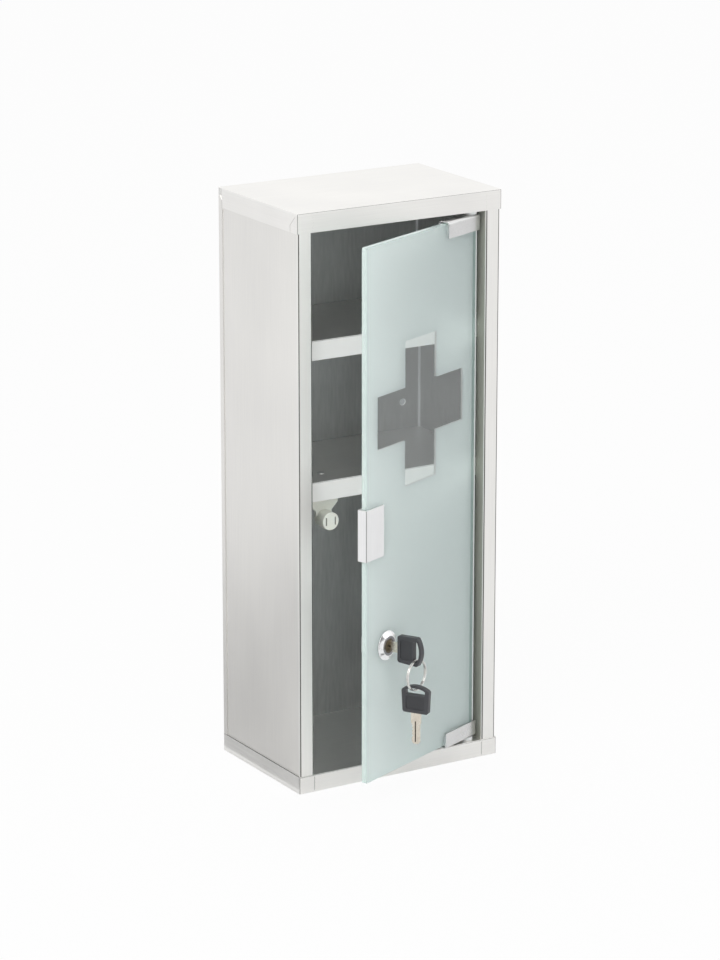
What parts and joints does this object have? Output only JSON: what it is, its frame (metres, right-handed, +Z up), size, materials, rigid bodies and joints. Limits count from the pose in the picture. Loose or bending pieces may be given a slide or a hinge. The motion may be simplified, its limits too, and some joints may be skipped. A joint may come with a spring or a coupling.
{
  "type": "medicine cabinet",
  "caption": "Narrow wall-hung medicine cabinet of folded steel sheet, with shelves, a frosted glass door with a clear cross, a magnetic catch and a cam lock with keys.",
  "frame": {"origin": "midway between the two wall screw holes, on the plane of the wall", "axes": "+X to the right as the door is faced, +Y into the wall, +Z up"},
  "size_m": [0.198, 0.2125, 0.5],
  "materials": {
    "case_steel": "brushed stainless sheet",
    "door_glass": "toughened glass, frosted, with a clear cross",
    "clip_steel": "satin",
    "pivot_steel": "zinc plated",
    "white_nylon": "moulded nylon",
    "cream_plastic": "moulded",
    "pole_steel": "plated",
    "magnet": "pressed ferrite",
    "rivet": "plain",
    "clear_pad": "soft clear pad",
    "handle_metal": "satin",
    "lock_chrome": "polished",
    "black_gasket": "matt",
    "key_metal": "nickel plated",
    "key_plastic": "moulded",
    "ring_steel": "nickel plated"
  },
  "bodies": {
    "cabinet": {"top_cap": "case_steel", "base_tray": "case_steel", "left_side_panel": "case_steel", "right_side_panel": "case_steel", "back_panel": "case_steel", "upper_shelf": "case_steel", "lower_shelf": "case_steel", "upper_pivot_bush": "white_nylon", "lower_pivot_bush": "white_nylon", "catch_bracket": "cream_plastic", "catch_barrel": "cream_plastic", "catch_magnet": "magnet", "catch_pole_plates": "pole_steel", "catch_rivets": "rivet"},
    "door": {"door_glass": "door_glass", "upper_hinge_clip": "clip_steel", "lower_hinge_clip": "clip_steel", "upper_pivot_pin": "pivot_steel", "lower_pivot_pin": "pivot_steel", "hinge_pads": "clear_pad", "hinge_set_screws": "pivot_steel", "door_handle": "handle_metal", "handle_pads": "clear_pad", "lock_body": "lock_chrome", "lock_gaskets": "black_gasket", "lock_nut": "lock_chrome"},
    "lock_plug": {"lock_plug": "lock_chrome", "lock_cam": "pivot_steel", "cam_screw": "pivot_steel"},
    "key": {"key_blade": "key_metal", "key_bow": "key_plastic"},
    "key_ring": {"key_ring": "ring_steel"},
    "spare_key": {"spare_key_blade": "key_metal", "spare_key_bow": "key_plastic"}
  },
  "joints": [
    {"name": "door_hinge", "type": "hinge", "parent": "cabinet", "child": "door", "pos_m": [0.0736, -0.1215, 0], "axis": [0, 0, 1], "range_deg": [-23.2, 85]},
    {"name": "lock_turn", "type": "hinge", "parent": "door", "child": "lock_plug", "pos_m": [-0.04083, -0.17055, -0.155], "axis": [-0.3939, 0.9191, 0], "range_deg": [0, 90]},
    {"name": "key_slide", "type": "slide", "parent": "lock_plug", "child": "key", "axis": [0.3939, -0.9191, 0], "range_m": [0, 0.024]},
    {"name": "ring_swing", "type": "hinge", "parent": "key", "child": "key_ring", "pos_m": [-0.02773, -0.20111, -0.1692], "axis": [-0.3939, 0.9191, 0], "range_deg": [-90, 0]},
    {"name": "spare_key_swing", "type": "hinge", "parent": "key_ring", "child": "spare_key", "pos_m": [-0.02773, -0.20111, -0.1752], "axis": [-0.3939, 0.9191, 0], "range_deg": [-30, 30]}
  ],
  "couplings": [
    {"joint": "ring_swing", "follows": "lock_turn", "ratio": -1}
  ]
}
